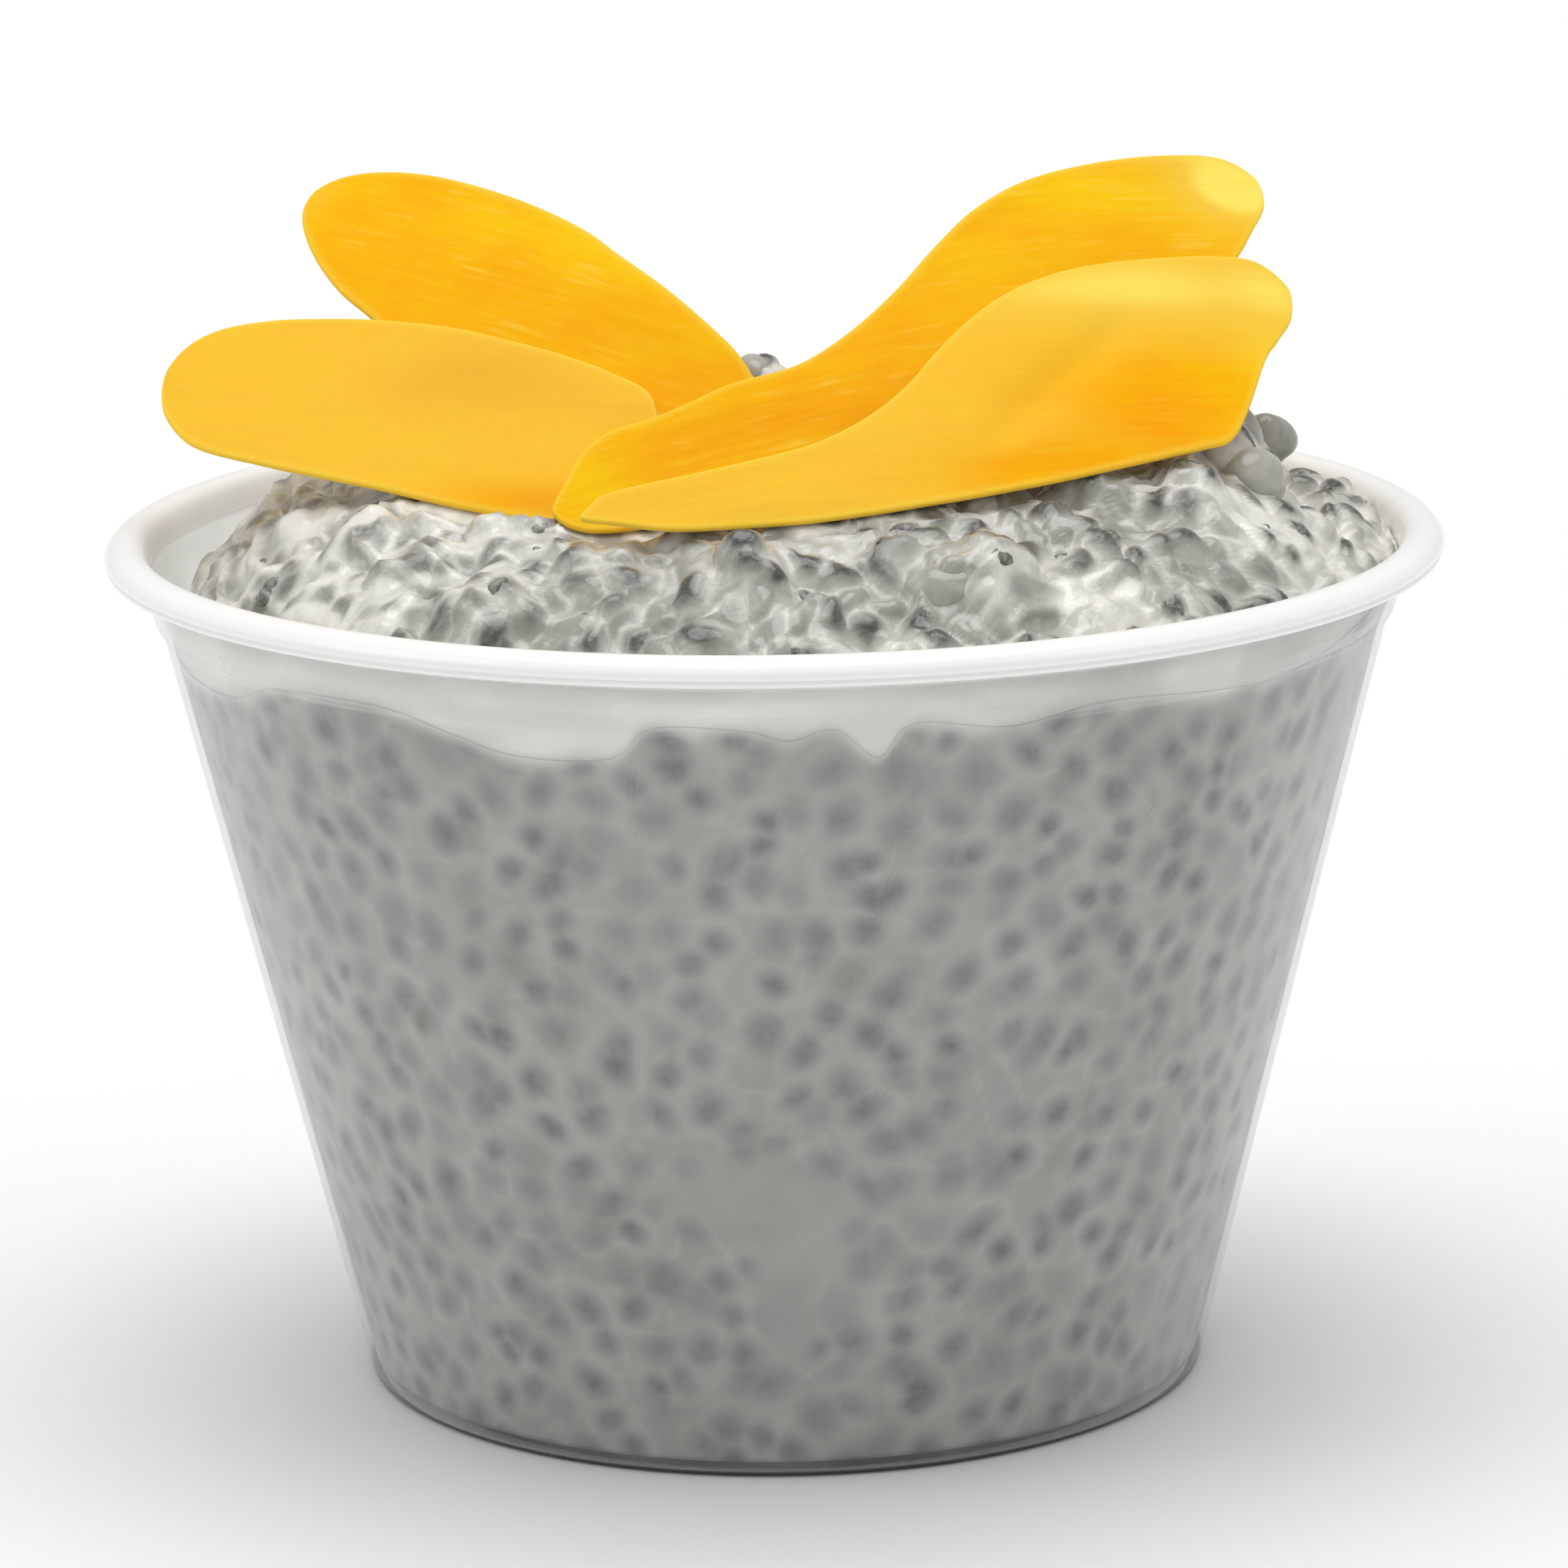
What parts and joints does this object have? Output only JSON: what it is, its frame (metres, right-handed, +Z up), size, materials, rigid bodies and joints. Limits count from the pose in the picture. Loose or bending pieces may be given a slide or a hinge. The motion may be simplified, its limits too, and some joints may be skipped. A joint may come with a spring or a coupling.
{
  "type": "chia pudding",
  "caption": "Chia pudding heaped in a clear tapered dessert cup with a rolled rim, topped with leaning slices of mango.",
  "frame": {"origin": "centre of the cup's foot ring, on the surface it stands on", "axes": "+Z up along the cup's axis, -Y towards the viewer of the picture, +X to the viewer's right"},
  "size_m": [0.095, 0.095, 0.0843],
  "materials": {
    "clear_plastic": "clear, slightly milky, glossy",
    "pudding": "wet, soft, pale grey with dark grey seeds",
    "mango": "moist, smooth, with fine fibres along the slice"
  },
  "bodies": {
    "root": {"cup": "clear_plastic", "pudding": "pudding", "mango_slice_front_right": "mango", "mango_slice_back_right": "mango", "mango_slice_front_left": "mango", "mango_slice_back_left": "mango"}
  },
  "joints": []
}
